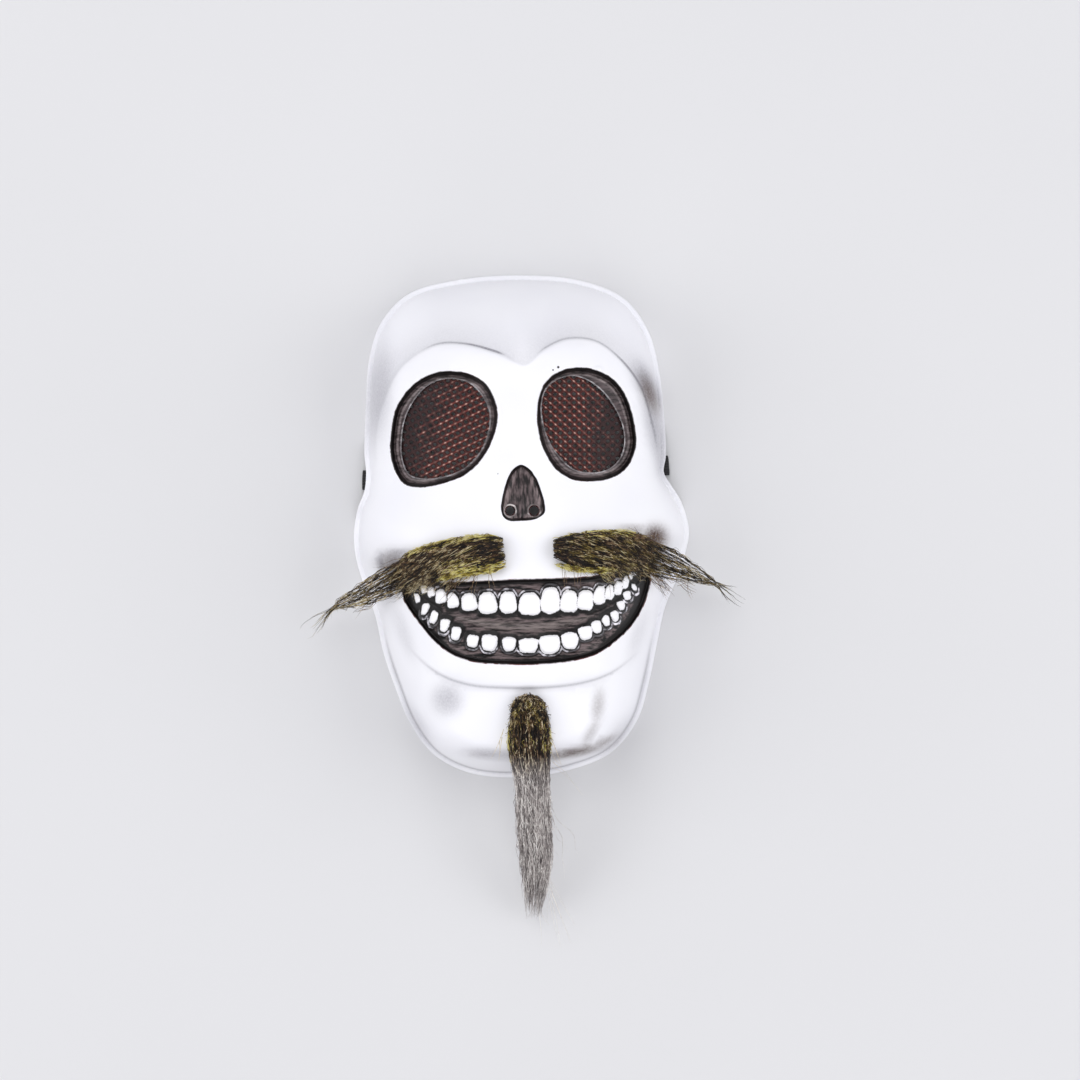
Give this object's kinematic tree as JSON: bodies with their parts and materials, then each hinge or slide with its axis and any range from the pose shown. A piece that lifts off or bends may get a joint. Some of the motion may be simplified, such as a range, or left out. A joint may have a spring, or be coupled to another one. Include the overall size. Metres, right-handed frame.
{
  "type": "skull costume mask",
  "caption": "Moulded plastic skull face mask with netted eye holes, a grinning mouth, a hair moustache and goatee, and an elastic head strap.",
  "frame": {"origin": "centre of the footprint, on the surface that the mask lies on", "axes": "+Z out of the face, +Y towards the forehead, +X to the right of a viewer who looks at the face"},
  "size_m": [0.2275, 0.328, 0.0815],
  "materials": {
    "white_plastic": "thermoformed white sheet with a satin gloss, the sockets, nose and mouth painted black, with brown and grey airbrushed shading",
    "netting": "dark brown open diamond net",
    "hair": "artificial hair, dark brown with olive and yellow strands",
    "elastic": "flat woven black elastic"
  },
  "bodies": {
    "root": {"mask_shell": "white_plastic", "eye_mesh_left": "netting", "eye_mesh_right": "netting", "moustache_left": "hair", "moustache_right": "hair", "goatee": "hair", "elastic_strap": "elastic"}
  },
  "joints": []
}
